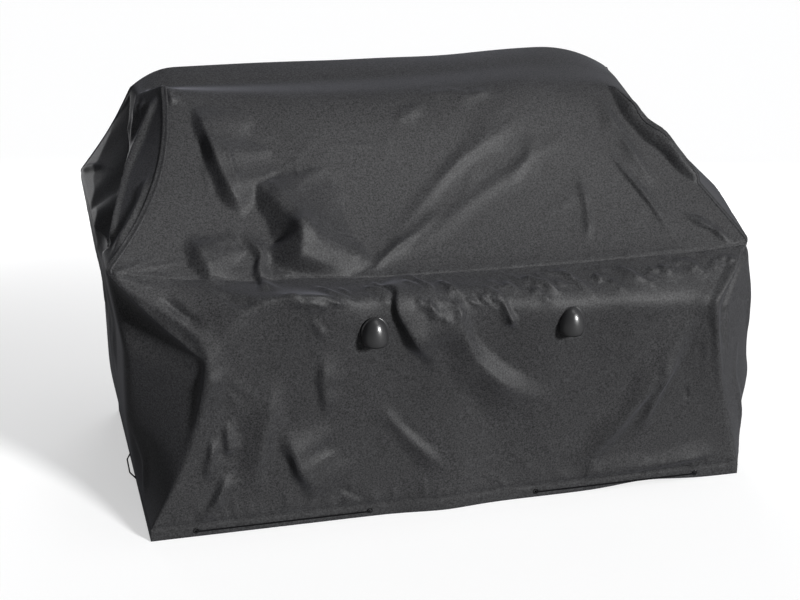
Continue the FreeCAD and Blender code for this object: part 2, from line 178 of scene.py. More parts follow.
def front_rows():
    """The front, left to right, from the hem up to the crown."""
    t = np.linspace(0, 1, FRONT_COLUMNS + 1)
    hem, belly, waist, crown = hem_line(t), belly_line(t), waist_line(t), crown_front_line(t)
    hem_top = hem * [1, 1, 0] + [0, 0, HEM_TOP]
    rows = []
    for band, s in row_places():
        if band == HEM:
            row = lerp(hem, hem_top, np.full_like(t, s))
        elif band == SKIRT:
            # the skirt widens from the control panel's corners down to the hem's
            left = -0.705 - 0.180 * (1 - s) ** 1.7
            right = 0.765 + 0.120 * (1 - s) ** 1.2
            row = lerp(hem_top, belly, np.full_like(t, s))
            row[:, 0] = left + (right - left) * t
            row[:, 1] += 0.010 * math.sin(math.pi * s)
        elif band == SHELF:
            row = lerp(belly, waist, np.full_like(t, s))
            row[:, 2] += (0.010 * smooth_step(0.25, 0.50, t) - 0.006) * math.sin(math.pi * s)
        else:
            left = -0.735 - 0.230 * (1 - s) ** 2.3
            right = 0.610 + 0.315 * (1 - s) - 0.034 * bump(s, 0.72, 0.17)
            row = lerp(waist, crown, np.full_like(t, s))
            row[:, 0] = left + (right - left) * t
            # it sags below and rounds over towards the crown
            sag = 0.018 * math.sin(math.pi * s) - 0.16 * s ** 3 * (1 - s)
            sag = sag * np.sin(math.pi * t) ** 0.7
            row[:, 1] += sag * 0.7
            row[:, 2] -= sag * 0.7
        rows.append(row)
    return np.array(rows)


def rear_rows():
    """The rear, left to right like the front."""
    t = np.linspace(0, 1, FRONT_COLUMNS + 1)
    hem, waist, crown = rear_hem_line(t), rear_waist_line(t), crown_rear_line(t)
    hem_top = hem + [0, 0, HEM_TOP]
    rows = []
    for band, s in row_places():
        if band == HEM:
            row = lerp(hem, hem_top, np.full_like(t, s))
        elif band < SLOPE:
            share = SKIRT_ROWS / (SKIRT_ROWS + SHELF_ROWS)
            s = s * share if band == SKIRT else share + s * (1 - share)
            row = lerp(hem_top, waist, np.full_like(t, s))
            row[:, 1] -= 0.012 * math.sin(math.pi * s)
            row[:, 0] += (0.0175 * bump(s, 0.62, 0.20) - 0.009 * bump(s, 0.17, 0.13)) * (1 - t) ** 3
        else:
            row = lerp(waist, crown, np.full_like(t, s))
            row[:, 1] -= 0.02 * math.sin(math.pi * s) * np.sin(math.pi * t)
            row[:, 0] += math.sin(math.pi * s) * np.interp(t, [0, 0.2, 0.8, 1], [0.012, 0, 0, -0.042])
        rows.append(row)
    return np.array(rows)


def side_rows(front_edge, rear_edge, hood_ridge, skirt_fold):
    """One end, from the front edge to the rear one, by way of a ridge or a fold."""
    u = np.linspace(0, 1, SIDE_COLUMNS + 1)
    share = 0.36            # how far back the ridge or fold lies
    skirt_reach = 0.79      # the skirt band's share of the fold
    rows = []
    for index, (band, s) in enumerate(row_places()):
        f, r = front_edge[index], rear_edge[index]
        if band == SLOPE:
            m = along(hood_ridge, s)
        elif band == HEM:
            m = f * (1 - share) + r * share
        elif band == SKIRT:
            m = along(skirt_fold, s * skirt_reach)
        else:
            m = along(skirt_fold, skirt_reach + s * (1 - skirt_reach))
        first = lerp(f, m, np.clip(u / share, 0, 1))
        second = lerp(m, r, np.clip((u - share) / (1 - share), 0, 1))
        rows.append(np.where((u < share)[:, None], first, second))
    return np.array(rows)


front = front_rows()
rear = rear_rows()
left = side_rows(
    front[:, 0], rear[:, 0],
    [(-0.958, -0.20, 0.792), (-0.925, -0.15, 0.87), (-0.885, -0.04, 0.935), (-0.855, 0.10, 1.00),
     (-0.80, 0.20, 1.135)],
    [(-0.895, -0.110, 0.036), (-0.922, -0.25, 0.30), (-0.922, -0.32, 0.55), (-0.958, -0.20, 0.792)])
right = side_rows(
    front[:, -1], rear[:, -1],
    [(0.953, -0.02, 0.785), (0.884, 0.10, 0.862), (0.806, 0.14, 0.942), (0.738, 0.17, 1.025),
     (0.655, 0.16, 1.125)],
    [(0.895, -0.110, 0.036), (0.970, -0.27, 0.25), (0.957, -0.31, 0.55), (0.947, -0.30, 0.68),
     (0.953, -0.02, 0.785)])
# the slack right end bellies out by its front corner, down to the floor
bulge = bump(right[:, :, 1], -0.32, 0.09) * (1 - smooth_step(0.08, 0.38, right[:, :, 2]))
right[:, :, 0] += 0.056 * bulge


def crown_grid():
    """The flat top between the front and rear crown lines, matching the four ring edges."""
    t = np.linspace(0, 1, FRONT_COLUMNS + 1)[:, None, None]
    u = np.linspace(0, 1, SIDE_COLUMNS + 1)[None, :, None]
    f, b = front[-1][:, None, :], rear[-1][:, None, :]
    l, r = left[-1][None, :, :], right[-1][None, :, :]
    corners = ((1 - t) * (1 - u) * front[-1][0] + t * (1 - u) * front[-1][-1]
               + (1 - t) * u * rear[-1][0] + t * u * rear[-1][-1])
    grid = (1 - u) * f + u * b + (1 - t) * l + t * r - corners
    grid[:, :, 2] += 0.016 * (np.sin(math.pi * u) * np.sin(math.pi * t) ** 0.5)[:, :, 0]
    return grid


# ---- one sheet from the rows
def ring_of(index):
    """A closed ring row, anticlockwise seen from above: front, right, back, left."""
    return np.concatenate([front[index][:-1], right[index][:-1], rear[index][::-1][:-1],
                           left[index][::-1][:-1]])


rings = np.array([ring_of(k) for k in range(RING_ROWS)])
crown = crown_grid()


def crown_index():
    """Vertex numbers of the crown's grid, its edge shared with the top ring."""
    nf, ns = FRONT_COLUMNS, SIDE_COLUMNS
    top_ring = RING_POINTS - RING_SIZE
    index = np.zeros((nf + 1, ns + 1), int)
    index[:, 0] = top_ring + np.arange(nf + 1)
    index[nf, :] = top_ring + nf + np.arange(ns + 1)
    index[:, ns] = top_ring + nf + ns + (nf - np.arange(nf + 1))
    index[0, :] = top_ring + (2 * nf + 2 * ns - np.arange(ns + 1)) % RING_SIZE
    index[0, 0] = top_ring
    inner = np.arange((nf - 1) * (ns - 1)).reshape(nf - 1, ns - 1)
    index[1:nf, 1:ns] = RING_POINTS + inner
    return index


crown_ids = crown_index()
points = np.concatenate([rings.reshape(-1, 3), crown[1:-1, 1:-1].reshape(-1, 3)])
ring_ids = np.arange(RING_POINTS).reshape(RING_ROWS, RING_SIZE)
following = np.roll(ring_ids, -1, axis=1)
wall_quads = np.stack([ring_ids[:-1], following[:-1], following[1:], ring_ids[1:]], -1)
crown_quads = np.stack([crown_ids[:-1, :-1], crown_ids[1:, :-1], crown_ids[1:, 1:],
                        crown_ids[:-1, 1:]], -1)
quads = np.concatenate([wall_quads.reshape(-1, 4), crown_quads.reshape(-1, 4)])

edges = np.concatenate([quads[:, [0, 1]], quads[:, [1, 2]], quads[:, [2, 3]], quads[:, [3, 0]]])
edges = np.unique(np.sort(edges, axis=1), axis=0)
neighbour_count = np.bincount(edges.ravel(), minlength=len(points)).astype(float)


def average_of_neighbours(values):
    ends = np.concatenate([edges[:, 0], edges[:, 1]])
    others = np.concatenate([edges[:, 1], edges[:, 0]])
    total = [np.bincount(ends, weights=values[others, k], minlength=len(values))
             for k in range(values.shape[1])]
    return np.stack(total, -1) / neighbour_count[:, None]


def relax(values, times, weight):
    """Move each point towards its neighbours' average, by its own weight."""
    for _ in range(times):
        values = values + (average_of_neighbours(values) - values) * weight[:, None]
    return values


def normals_of(values):
    a, b, c, d = (values[quads[:, k]] for k in range(4))
    face = np.cross(c - a, d - b)
    total = [sum(np.bincount(quads[:, corner], weights=face[:, k], minlength=len(values))
                 for corner in range(4)) for k in range(3)]
    return normalised(np.stack(total, -1))


def by_front_corner():
    """The points within two columns of the skirt's front corners, which stay crisper."""
    row, column = np.divmod(np.arange(len(points)), RING_SIZE)
    to_left = np.minimum(column, RING_SIZE - column)
    to_right = abs(column - FRONT_COLUMNS)
    return (row > 8) & (row < 138) & (np.minimum(to_left, to_right) < 3)


# soften every edge, but leave the hem's plane alone
EDGE_WEIGHT = 0.6
CORNER_SHARE = 0.22
free = np.full(len(points), EDGE_WEIGHT)
free[:RING_SIZE * (HEM_ROWS + 1)] = 0.0
hem_fade = np.clip((points[:, 2] - HEM_TOP) / 0.10, 0, 1)
free = np.where(points[:, 2] < 0.14, EDGE_WEIGHT * hem_fade, free)
points = relax(points, 22, free * np.where(by_front_corner(), CORNER_SHARE, 1))
# the crown's front edge is a wide, soft turn
nearness = bump(points[:, 1], 0.06, 0.12) * smooth_step(1.03, 1.13, points[:, 2])
nearness *= smooth_step(-0.74, -0.64, points[:, 0]) * smooth_step(-0.70, -0.60, -points[:, 0])
points = relax(points, 230, 0.62 * nearness)
# so is the middle of the control panel's upper edge
nearness = bump(points[:, 2], 0.68, 0.07) * smooth_step(-0.40, -0.25, points[:, 0])
nearness *= smooth_step(-0.76, -0.68, -points[:, 0]) * (points[:, 1] < -0.3)
points = relax(points, 210, 0.64 * nearness)


# ---- folds
def face_ids(first, last):
    """The points in the columns from first to last, which may run on past the last column."""
    columns = np.zeros(RING_SIZE, bool)
    columns[np.arange(first, last + 1) % RING_SIZE] = True
    return np.nonzero(np.tile(columns, RING_ROWS))[0]


FACES = {"front": face_ids(0, FRONT_COLUMNS), "right": face_ids(FRONT_COLUMNS, REAR_RIGHT),
         "back": face_ids(REAR_RIGHT, REAR_LEFT), "left": face_ids(REAR_LEFT, RING_SIZE)}
base = points.copy()
base_normals = normals_of(base)
offset = np.zeros(len(points))


def on_surface(places, ids, first, second):
    """The surface points nearest to some places given by two of their coordinates."""
    found = []
    for a, b in places:
        gap = (base[ids, first] - a) ** 2 + (base[ids, second] - b) ** 2
        found.append(base[ids[np.argmin(gap)]])
    return np.array(found)


def smooth_line(corners):
    """A line through some corners in even steps of about 6 mm, with its corners eased."""
    lengths = np.linalg.norm(np.diff(corners, axis=0), axis=1)
    reach = np.concatenate([[0], np.cumsum(lengths)])
    count = max(8, int(reach[-1] / 0.006))
    at = np.linspace(0, 1, count)
    line = np.stack([np.interp(at * reach[-1], reach, corners[:, k]) for k in range(3)], -1)
    for _ in range(count // 5):
        line[1:-1] = (line[:-2] + 2 * line[1:-1] + line[2:]) / 4
    return at, line


def spread(value, at):
    """A value, or some values spread evenly, as one value for each place along a line."""
    value = np.atleast_1d(np.asarray(value, float))
    return np.interp(at, np.linspace(0, 1, len(value)), value)


def fold(places, height, below, above, start=0.35, end=0.35, face="front", sharp=0.14,
         power=1.35):
    """Raise a ridge (or sink a valley) along a line on the cloth.

    The line's places are (x, z) on the front or back, (y, z) on an end or (x, y, z) anywhere.
    Seen along the line with the cloth's outside up, it falls to nothing over the width below
    on its left-hand side and above on its right-hand side, all in millimetres. Height and
    widths may be tuples, spread evenly along the line.
    """
    if len(places[0]) == 3:
        corners = np.array(places, float)
    else:
        first = 0 if face in ("front", "back") else 1
        corners = on_surface(places, FACES[face], first, 2)
    at, line = smooth_line(corners)
    phases = dice.uniform(0, 2 * math.pi, 4)
    width = 1.3 * max(np.max(below), np.max(above)) / 1000
    low, high = line.min(0) - width, line.max(0) + width
    near = np.nonzero(((base > low) & (base < high)).all(1))[0]
    nearest = np.zeros(len(near), int)
    away = np.full(len(near), 9.0)
    for index, place in enumerate(line):
        gap = np.linalg.norm(base[near] - place, axis=1)
        nearest = np.where(gap < away, index, nearest)
        away = np.minimum(away, gap)
    gaps = base[near] - line[nearest]
    tangent = normalised(np.gradient(line, axis=0))[nearest]
    side = np.einsum("ij,ij->i", np.cross(base_normals[near], tangent), gaps)
    share = smooth_step(-0.004, 0.004, side)
    # how far along the line, between its steps too, and how far off it
    step = np.linalg.norm(line[-1] - line[-2])
    ahead = np.clip(np.einsum("ij,ij->i", gaps, tangent), -step, step)
    inside = (nearest > 0) & (nearest < len(line) - 1)
    k = np.clip(at[nearest] + np.where(inside, ahead / step * at[1], 0), 0, 1)
    away = np.where(inside, np.sqrt(np.maximum(away ** 2 - ahead ** 2, 0)), away)
    waver = 1 + 0.16 * np.sin(9 * k + phases[0]) + 0.10 * np.sin(21 * k + phases[1])
    swell = 1 + 0.14 * np.sin(7 * k + phases[2]) + 0.08 * np.sin(17 * k + phases[3])
    below, above, height = (spread(value, k) for value in (below, above, height))
    span = (below * (1 - share) + above * share) / 1000 * waver
    rounded = np.sqrt((away / span) ** 2 + sharp ** 2) - sharp
    shape = np.clip(1 - rounded / (1 - 0.5 * sharp), 0, 1) ** power
    ends = smooth_step(0, max(start, 1e-6), k) * smooth_step(0, max(end, 1e-6), 1 - k)
    offset[near] += height / 1000 * shape * ends * swell


def broad_folds():
    """The few large folds that the cloth's own weight makes."""
    # hood, left half
    fold([(-.655, 1.135), (-.638, 1.062), (-.618, .985), (-.588, .914), (-.547, .868)],
         (16, 38, 42, 38, 20), (14, 24, 27, 25, 18), (90, 140, 170, 150, 80), .22, .15,
         sharp=.04, power=1.08)
    fold([(-.587, 1.04), (-.577, .974), (-.553, .915)], 6, 10, 16)
    fold([(-.512, .945), (-.478, .895), (-.438, .845), (-.412, .812), (-.420, .77), (-.432, .735)],
         (14, 42, 66, 82, 72, 42), (14, 32, 56, 78, 76, 56), (80, 150, 190, 200, 180, 120), .1, .10,
         sharp=.03, power=1.06)
    fold([(-.502, .965), (-.461, .922), (-.414, .857), (-.387, .80), (-.376, .75)], 10, 26, 44)
    fold([(-.715, .85), (-.697, .79), (-.668, .73)], 32, 30, 110, .45, .4, power=1.1)
    fold([(-.574, .838), (-.528, .777), (-.545, .748), (-.536, .722)], 22, 15, 40, .35, .2, sharp=.06)
    fold([(-.50, .742), (-.47, .735), (-.44, .732)], 8, 12, 14)
    fold([(-.609, .852), (-.597, .79)], 5, 8, 16)
    fold([(-.722, 1.175), (-.715, 1.132)], 10, 9, 26)
    fold([(-.655, 1.00), (-.64, .93)], 3, 10, 24)
    fold([(-.579, 1.175), (-.504, 1.109)], 3.5, 10, 14)
    fold([(-.388, .998), (-.389, .928)], 3, 7, 9)
    fold([(-.294, 1.024), (-.139, 1.007)], 2.5, 7, 9)
    # hood, middle: a fan that spreads up and to the right from the seam
    fold([(-.24, .712), (-.157, .754), (-.067, .80)], 9, 16, 22)
    fold([(-.263, .735), (-.231, .788)], 6, 14, 16)
    faint = {"power": 2.0, "sharp": 0.3}
    fold([(-.25, .71), (-.006, .888), (.318, 1.134)], 5.2, 36, 40, **faint)
    fold([(-.226, .712), (.106, .858), (.485, 1.035)], 5.2, 40, 36, **faint)
    fold([(.31, 1.07), (.11, .97), (-.015, .895)], 6.4, 40, 42, **faint)
    fold([(.024, .85), (-.125, .766), (-.195, .727)], 8.0, 32, 28, **faint)
    fold([(.162, 1.183), (.001, 1.167)], 5.0, 30, 34, **faint)
    fold([(.239, 1.183), (.079, 1.105)], 6.4, 28, 32, **faint)
    fold([(.019, 1.108), (-.099, 1.063)], 5.6, 30, 34, **faint)
    fold([(.335, 1.018), (.29, .953), (.213, .884)], 6.0, 36, 32, **faint)
    # hood, right
    fold([(.60, 1.128), (.668, 1.04), (.722, .965), (.772, .90), (.812, .86)],
         (14, 34, 38, 34, 14), (12, 24, 28, 24, 12), 55, .06, .06, sharp=.04, power=1.08)
    fold([(.546, 1.10), (.585, 1.012), (.648, .902), (.677, .86)], 11, 42, 28)
    fold([(.54, .967), (.592, .889), (.637, .83), (.698, .733)], 9, 12, 30, sharp=.08)
    fold([(.734, .794), (.817, .751), (.866, .713)], 13, 14, 20)
    fold([(.443, .915), (.449, .841), (.441, .778), (.423, .733)], 7, 20, 16)
    # under the seam, left
    fold([(-.83, .728), (-.77, .681), (-.705, .636)], -13, 16, 26)
    fold([(-.674, .728), (-.62, .704), (-.55, .706)], -10, 14, 24)
    fold([(-.423, .662), (-.377, .58)], 7, 22, 15)
    # skirt, left
    fold([(-.662, .36), (-.655, .24)], 16, 13, 34)
    fold([(-.697, .32), (-.722, .17)], 16, 16, 34)
    fold([(-.654, .20), (-.704, .10), (-.754, .038)], 18, 16, 40)
    fold([(-.507, .49), (-.562, .285), (-.60, .097)], 20, 66, 44)
    fold([(-.497, .32), (-.458, .188), (-.39, .065)], 32, 28, 120, .4, .4, sharp=.05, power=1.1)
    fold([(-.384, .55), (-.391, .446), (-.375, .33)], 14, 20, 60)
    fold([(-.349, .116), (-.261, .047)], -7, 10, 12)
    # skirt, middle
    fold([(-.222, .70), (-.138, .578), (-.036, .435)], (36, 32, 18), (22, 28, 34), 140, .15, .5,
         sharp=.04, power=1.08)
    fold([(-.233, .367), (-.164, .271), (-.02, .12)], 12, 40, 22)
    fold([(.012, .68), (-.004, .596), (.055, .473), (.159, .375), (.31, .30)], 30, 90, 44, .2, .5)
    fold([(-.101, .70), (-.094, .65)], 9, 10, 14)
    fold([(-.076, .676), (-.036, .605)], 11, 16, 13)
    fold([(.126, .66), (.167, .565)], 13, 16, 13)
    fold([(.205, .676), (.305, .648)], 7, 10, 13)
    fold([(-.04, .69), (.01, .674)], 5, 9, 11)
    # ridges that run down to the right from the seam, lit above and dark below
    for line, height in (([(.186, .687), (.255, .675), (.303, .647)], 13),
                         ([(-.044, .697), (-.008, .683), (.024, .665)], 11),
                         ([(.492, .690), (.530, .673), (.560, .646)], 11),
                         ([(.616, .688), (.649, .667), (.665, .645)], 8),
                         ([(.123, .651), (.151, .596), (.170, .560)], 12),
                         ([(-.125, .714), (-.077, .690), (-.059, .660)], 12),
                         ([(.077, .683), (.121, .660), (.141, .635)], 10),
                         ([(.361, .673), (.390, .649), (.400, .62)], 8),
                         ([(.720, .682), (.764, .650)], 8),
                         ([(.216, .671), (.259, .644), (.270, .62)], 10),
                         ([(.413, .679), (.442, .663)], 7),
                         ([(-.264, .701), (-.203, .691), (-.174, .668)], 10),
                         ([(-.097, .670), (-.055, .619)], 11),
                         ([(-.013, .663), (.007, .609)], 11),
                         ([(-.50, .722), (-.42, .705), (-.36, .68)], 9),
                         ([(-.40, .715), (-.33, .70), (-.27, .67)], 8)):
        fold(line, height, 26, 11, .25, .45, sharp=.06, power=1.15)
    # skirt, right: a fan down and to the left from the control panel's corner
    fold([(.70, .60), (.693, .53), (.598, .349), (.485, .206), (.368, .064)], 26, 66, 46)
    fold([(.678, .475), (.587, .239), (.551, .154)], 15, 32, 26)
    fold([(.706, .315), (.713, .268)], -6, 9, 10)
    fold([(.34, .046), (.56, .048), (.70, .064), (.84, .082)], 10, 11, 60, .3, .2)
    fold([(.524, .668), (.60, .645)], 6, 9, 11)
    # left end of the hood: the flap's diagonal fold, pleats and the lit facet by the seam
    fold([(-.752, .10, 1.150), (-.765, .085, 1.125), (-.812, .053, 1.034), (-.865, -.022, .956),
          (-.900, -.126, .897), (-.935, -.246, .823)], 18, 34, 16, .1, .1, sharp=.04, power=1.1)
    fold([(-.842, .19, 1.06), (-.85, .08, .99)], 10, 12, 16)
    fold([(-.79, .219, 1.14), (-.818, .132, 1.072), (-.842, .058, 1.0)], 10, 14, 18)
    fold([(-.765, .207, 1.152), (-.80, .105, 1.085)], 8, 12, 14)
    fold([(-.80, -.10, .975), (-.845, -.19, .905), (-.90, -.262, .845), (-.935, -.30, .812)],
         14, 26, 12, .25, .25)
    # the two front edges of the skirt stand proud
    fold([(-.93, .77), (-.868, .72), (-.808, .677), (-.749, .641), (-.716, .60), (-.706, .55),
          (-.712, .485), (-.735, .385), (-.765, .29), (-.80, .20)],
         (3, 8, 9, 10, 11, 11, 10, 8, 6, 3), 22, 60, .1, .3, sharp=.03, power=1.05)
    fold([(.905, .70), (.83, .64), (.772, .58), (.775, .53), (.797, .416), (.832, .25)],
         (3, 8, 10, 9, 7, 4), 26, 18, .15, .4, sharp=.04, power=1.1)
    # right end: a groove beside its front edge, slack folds and creases down to the hem
    fold([(.918, -.345, .67), (.865, -.38, .62), (.815, -.43, .56), (.82, -.43, .47),
          (.85, -.42, .35)], (-4, -12, -14, -9, -3), 30, 20, .1, .4, sharp=.05, power=1.1)
    fold([(-.29, .66), (-.31, .50), (-.27, .33), (-.25, .20)], 9, 22, 30, face="right")
    fold([(-.36, .44), (-.38, .30), (-.35, .16), (-.33, .05)], 8, 16, 22, face="right")
    fold([(-.22, .40), (-.27, .28), (-.33, .20)], 6, 12, 18, face="right")
    fold([(-.15, .70), (-.10, .45), (-.12, .20)], 12, 40, 60, face="right")
    fold([(.10, .74), (.14, .48), (.06, .22)], 10, 50, 70, face="right")
    fold([(.36, .76), (.30, .50), (.34, .18)], 8, 40, 50, face="right")
    # left end below the seam: slack that falls from the corners
    fold([(.42, .74), (.30, .55), (.24, .36)], 9, 50, 36, face="left")
    fold([(-.10, .76), (-.06, .56), (.04, .30)], 10, 60, 44, face="left")
    fold([(.14, .75), (.12, .50), (.18, .22)], 8, 44, 60, face="left")
    fold([(-.26, .30), (-.28, .16), (-.26, .05)], 8, 24, 34, face="left")
    # back: long shallow folds down from the seam and a few across the rear slope
    for places, height in (([(-.90, .80), (-.72, .60), (-.62, .36)], 12),
                           ([(.90, .78), (.74, .58), (.66, .30)], 12),
                           ([(-.40, .79), (-.36, .50), (-.42, .20)], 7),
                           ([(.10, .78), (.16, .52), (.10, .26)], 8),
                           ([(.46, .77), (.40, .52), (.46, .30)], 7),
                           ([(-.16, .77), (-.10, .60), (-.14, .42)], 6),
                           ([(-.70, .30), (-.62, .16), (-.50, .06)], 9),
                           ([(.66, .28), (.56, .14), (.44, .06)], 9),
                           ([(-.60, 1.10), (-.68, .98), (-.80, .86)], 11),
                           ([(.48, 1.10), (.62, .98), (.80, .84)], 11),
                           ([(-.20, 1.12), (-.10, .98), (-.14, .84)], 6),
                           ([(.24, 1.12), (.18, 1.0), (.26, .86)], 6)):
        fold(places, height, 46, 34, .3, .5, face="back")
    # the deep hollow behind the flap, and the crease that runs to its far corner
    fold([(-.81, .262, 1.11), (-.845, .16, 1.035), (-.869, .0, .962), (-.913, -.13, .885),
          (-.945, -.235, .825)], (-4, -42, -72, -62, -20), 180, 14, .02, .02, sharp=.04, power=1.0)
    fold([(-.97, .44, .845), (-.91, .25, .905), (-.88, .12, .93)], 12, 16, 14, .1, .3)


def scattered_folds():
    """Small seeded puckers, mostly along the seam and around the corners."""
    for x in dice.uniform(-.60, .86, 58):
        z = float(seam_height(x)) + dice.uniform(-.030, .004)
        length = dice.uniform(.03, .10)
        turn = math.radians(dice.uniform(12, 48))
        fold([(x, z), (x + length * math.cos(turn), z - length * math.sin(turn))],
             dice.uniform(3.5, 8), dice.uniform(12, 22), 9, .25, .6)
    for x in dice.uniform(-.55, .85, 12):
        z = float(seam_height(x)) + .002
        length = dice.uniform(.03, .07)
        turn = math.radians(dice.uniform(25, 60))
        fold([(x, z), (x + length * math.cos(turn), z + length * math.sin(turn))],
             dice.uniform(1, 2.5), 9, dice.uniform(10, 16), .25, .7)
    # rays from the left corner of the seam
    for turn in (-40, -27, -16, -7, 3, 12):
        a = math.radians(turn)
        length = dice.uniform(.13, .26)
        fold([(-.945, .778), (-.945 + length * math.cos(a), .774 + length * math.sin(a))],
             dice.uniform(3, 6), 8, 12, .1, .75)
    # rays from the control panel's two upper corners
    for turn in (-115, -100, -88, -76, -62, -48):
        a = math.radians(turn)
        length = dice.uniform(.10, .30)
        fold([(-.70, .54), (-.70 + length * math.cos(a), .54 + length * math.sin(a))],
             dice.uniform(3, 7), 16, dice.uniform(18, 34), .25, .7)
    for turn in (-125, -112, -98, -86):
        a = math.radians(turn)
        length = dice.uniform(.14, .36)
        fold([(.745, .62), (.745 + length * math.cos(a), .62 + length * math.sin(a))],
             dice.uniform(3, 7), 16, dice.uniform(18, 34), .25, .7)
    # slack gathered just above the drawn hem
    for x in dice.uniform(-.84, .84, 40):
        length = dice.uniform(.03, .14)
        lean = dice.uniform(-.05, .05)
        fold([(x, .037), (x + lean, .037 + length)], dice.uniform(1, 5), dice.uniform(8, 18),
             dice.uniform(10, 24), .05, .7)
    # gathers around the front eyelets
    for x in FRONT_EYELET_X:
        for _ in range(6):
            turn = math.radians(dice.uniform(20, 160))
            length = dice.uniform(.03, .07)
            fold([(x, .038), (x + length * math.cos(turn), .038 + length * math.sin(turn))],
                 dice.uniform(2, 4), 7, 10, .1, .7)
    # puckers under the seam at the back and the ends
    for face, low, high, count in (("back", -.85, .85, 34), ("left", -.25, .42, 12),
                                   ("right", -.25, .42, 12)):
        for place in dice.uniform(low, high, count):
            length = dice.uniform(.03, .09)
            lean = dice.uniform(-.04, .04)
            z = .80 - .035 * math.cos(1.7 * place) - dice.uniform(.0, .02)
            fold([(place, z), (place + lean, z - length)], dice.uniform(3, 6), 12, 16, .2, .6,
                 face=face)
    # faint, long tension lines
    for _ in range(26):
        x, z = dice.uniform(-.6, .6), dice.uniform(.12, 1.1)
        turn = math.radians(dice.uniform(20, 70))
        length = dice.uniform(.10, .28)
        if z < .66:
            turn = -turn
        fold([(x, z), (x + length * math.cos(turn), z + length * math.sin(turn))],
             dice.uniform(0.7, 1.6), dice.uniform(16, 34), dice.uniform(16, 38), .5, .5)


dice = np.random.default_rng(11)
broad_folds()
scattered_folds()
offset = relax(offset[:, None], 2, np.full(len(base), 0.4))[:, 0]
# the cloth is flat around the vents and at the hem
flat = np.ones(len(base))
for vent_x, _, vent_z in VENTS.values():
    gap = np.hypot(base[:, 0] - vent_x, base[:, 2] - vent_z)[FACES["front"]]
    flat[FACES["front"]] = np.minimum(flat[FACES["front"]], smooth_step(.040, .074, gap))
offset *= flat * smooth_step(.030, .075, base[:, 2])
# the stitches pull a shallow, uneven groove along the top of the hem
pull = 0.7 + 0.3 * np.sin(71 * base[:, 0]) * np.sin(113 * base[:, 0] + 37 * base[:, 1])
offset -= 0.0032 * pull * bump(base[:, 2], 0.040, 0.006)
# and a crisp one along the seam at shelf height
seam_gap = np.repeat(np.arange(RING_ROWS) - WAIST_ROW, RING_SIZE)
offset[:RING_POINTS] -= 0.0030 * pull[:RING_POINTS] * bump(seam_gap, 0, 0.8)
points = base + base_normals * offset[:, None]


# ---- mesh objects
def mesh_object(name, vertices, faces, smooth=True):
    mesh = bpy.data.meshes.new(name)
    mesh.from_pydata(np.asarray(vertices).tolist(), [], np.asarray(faces).tolist())
    mesh.update()
    if smooth:
        mesh.polygons.foreach_set("use_smooth", [True] * len(mesh.polygons))
    obj = bpy.data.objects.new(name, mesh)
    scene.collection.objects.link(obj)
    return obj


def piece(name, vertices, faces, material, body="cover", smooth=True):
    """A mesh object with its material, riding on a body of the frame."""
    obj = mesh_object(name, vertices, faces, smooth)
    obj.data.materials.append(material)
    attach(obj, body)
    return obj


def add_wall(obj, thickness):
    """Give a surface a thickness inwards from its outer side."""
    wall = obj.modifiers.new("thickness", "SOLIDIFY")
    wall.thickness = thickness
    wall.offset = -1


# ---- materials
def node(tree, kind, inputs=None, **settings):
    """A new node with some settings and then some input values."""
    made = tree.nodes.new(kind)
    for key, value in settings.items():
        setattr(made, key, value)
    for key, value in (inputs or {}).items():
        made.inputs[key].default_value = value
    return made


def new_material(name, **inputs):
    """A node material with some inputs of its shader set; an underscore stands for a space."""
    mat = bpy.data.materials.new(name)
    mat.use_nodes = True
    for key, value in inputs.items():
        mat.node_tree.nodes["Principled BSDF"].inputs[key.replace("_", " ")].default_value = value
    return mat, mat.node_tree, mat.node_tree.nodes["Principled BSDF"]


def noise_in(tree, scale, detail, **settings):
    """The strength of a noise laid out in the object's own coordinates."""
    place = node(tree, "ShaderNodeTexCoord")
    noise = node(tree, "ShaderNodeTexNoise", {"Scale": scale, "Detail": detail, **settings})
    tree.links.new(place.outputs["Object"], noise.inputs["Vector"])
    return noise.outputs["Fac"]


def tones(tree, noise, colour, dark, light, start=0.0, end=1.0):
    """A colour that goes with the noise from a dark to a light share of itself."""
    ramp = node(tree, "ShaderNodeValToRGB")
    for element, at, share in zip(ramp.color_ramp.elements, (start, end), (dark, light)):
        element.position = at
        element.color = [c * share for c in colour] + [1]
    tree.links.new(noise, ramp.inputs["Fac"])
    return ramp.outputs["Color"]


def ranged(tree, noise, low, high):
    """The noise as a value between low and high."""
    span = node(tree, "ShaderNodeMapRange", {"To Min": low, "To Max": high})
    tree.links.new(noise, span.inputs["Value"])
    return span.outputs["Result"]


def add_relief(tree, noise, strength, distance, shader):
    relief = node(tree, "ShaderNodeBump", {"Strength": strength, "Distance": distance})
    tree.links.new(noise, relief.inputs["Height"])
    tree.links.new(relief.outputs["Normal"], shader.inputs["Normal"])


def cloth_material(name, colour, weave):
    """Coated woven polyester: a fine noise relief for the weave, faint speckle and a slight sheen."""
    mat, tree, shader = new_material(name, Roughness=0.6, Specular_IOR_Level=0.3, Sheen_Weight=0.10,
                                     Sheen_Roughness=0.45, Sheen_Tint=(0.85, 0.86, 1.0, 1))
    speckle = tones(tree, noise_in(tree, 210.0, 3.0, Roughness=0.8), colour, 0.25, 2.1, 0.36, 0.66)
    fading = ranged(tree, noise_in(tree, 6.0, 5.0), 0.82, 1.18)
    toned = node(tree, "ShaderNodeVectorMath", operation="SCALE")
    tree.links.new(speckle, toned.inputs[0])
    tree.links.new(fading, toned.inputs["Scale"])
    tree.links.new(toned.outputs["Vector"], shader.inputs["Base Color"])
    add_relief(tree, noise_in(tree, weave, 1.0), 0.25, 0.0006, shader)
    return mat


